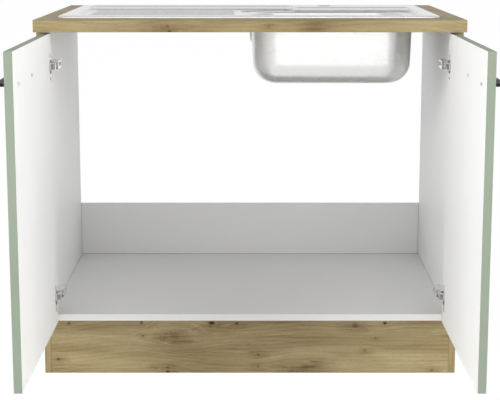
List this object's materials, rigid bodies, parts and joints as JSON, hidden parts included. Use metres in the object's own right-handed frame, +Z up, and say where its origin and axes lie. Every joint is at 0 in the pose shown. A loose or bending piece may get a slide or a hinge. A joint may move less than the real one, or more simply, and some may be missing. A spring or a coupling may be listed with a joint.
{
  "type": "kitchen sink unit",
  "caption": "Freestanding kitchen sink base unit: oak-effect cabinet with open back, worktop, inset stainless steel sink with drainer and hinged sage green doors on concealed hinges.",
  "frame": {"origin": "middle of the bounding box's base, on the floor", "axes": "+X to the right as seen from the front, +Y to the back, +Z up, with the doors standing open towards -Y"},
  "size_m": [1.022, 1.103, 0.867],
  "materials": {
    "oak_board": "oak-effect melamine on chipboard, satin, white on the inside",
    "oak_laminate": "oak-effect laminate, satin",
    "white_board": "white melamine, satin",
    "white_hardboard": "white-faced hardboard",
    "sage_door": "sage green matt front, white inside",
    "black_metal": "matt black powder coat",
    "stainless": "linen-brushed stainless steel",
    "foam_seal": "closed-cell foam",
    "beech": "plain beech",
    "black_plastic": "moulded nylon",
    "plated_steel": "bright nickel plate"
  },
  "bodies": {
    "carcass": {"arm_pins": "plated_steel", "arm_screws": "plated_steel", "bracket_screws": "plated_steel", "cam_bolts": "plated_steel", "cam_discs": "plated_steel", "clamp_hangers": "stainless", "clamp_pads": "black_plastic", "clamp_screws": "plated_steel", "dowels": "beech", "floor_board": "white_board", "hinge_arm_lower_left": "plated_steel", "hinge_arm_lower_right": "plated_steel", "hinge_arm_upper_left": "plated_steel", "hinge_arm_upper_right": "plated_steel", "hinge_plate_lower_left": "plated_steel", "hinge_plate_lower_right": "plated_steel", "hinge_plate_upper_left": "plated_steel", "hinge_plate_upper_right": "plated_steel", "plate_screws": "plated_steel", "plinth_board": "oak_board", "rear_strip": "white_hardboard", "rear_top_rail": "white_board", "side_panel_left": "oak_board", "side_panel_right": "oak_board", "sink": "stainless", "sink_seal": "foam_seal", "strip_nails": "plated_steel", "worktop": "oak_laminate", "worktop_brackets": "plated_steel"},
    "door_left": {"cup_pins_left": "plated_steel", "cup_screws_left": "plated_steel", "door_left": "sage_door", "handle_left": "black_metal", "handle_screws_left": "plated_steel", "hinge_cup_lower_left": "plated_steel", "hinge_cup_upper_left": "plated_steel"},
    "door_right": {"cup_pins_right": "plated_steel", "cup_screws_right": "plated_steel", "door_right": "sage_door", "handle_right": "black_metal", "handle_screws_right": "plated_steel", "hinge_cup_lower_right": "plated_steel", "hinge_cup_upper_right": "plated_steel"},
    "levers_left": {"hinge_lever_lower_left": "plated_steel", "hinge_lever_upper_left": "plated_steel"},
    "levers_right": {"hinge_lever_lower_right": "plated_steel", "hinge_lever_upper_right": "plated_steel"}
  },
  "joints": [
    {"name": "door_left_pivot", "type": "hinge", "parent": "levers_left", "child": "door_left", "pos_m": [-0.4662, -0.06942, 0.452], "axis": [0, 0, 1], "range_deg": [-13.33, 149.97]},
    {"name": "lever_left_pivot", "type": "hinge", "parent": "carcass", "child": "levers_left", "pos_m": [-0.463, -0.0475, 0.452], "axis": [0, 0, 1], "range_deg": [-59.98, 5.34]},
    {"name": "door_right_pivot", "type": "hinge", "parent": "levers_right", "child": "door_right", "pos_m": [0.4662, -0.06942, 0.452], "axis": [0, 0, -1], "range_deg": [-13.33, 149.97]},
    {"name": "lever_right_pivot", "type": "hinge", "parent": "carcass", "child": "levers_right", "pos_m": [0.463, -0.0475, 0.452], "axis": [0, 0, -1], "range_deg": [-59.98, 5.34]}
  ],
  "couplings": [
    {"joint": "lever_left_pivot", "follows": "door_left_pivot", "ratio": -0.39988},
    {"joint": "lever_right_pivot", "follows": "door_right_pivot", "ratio": -0.39988}
  ]
}
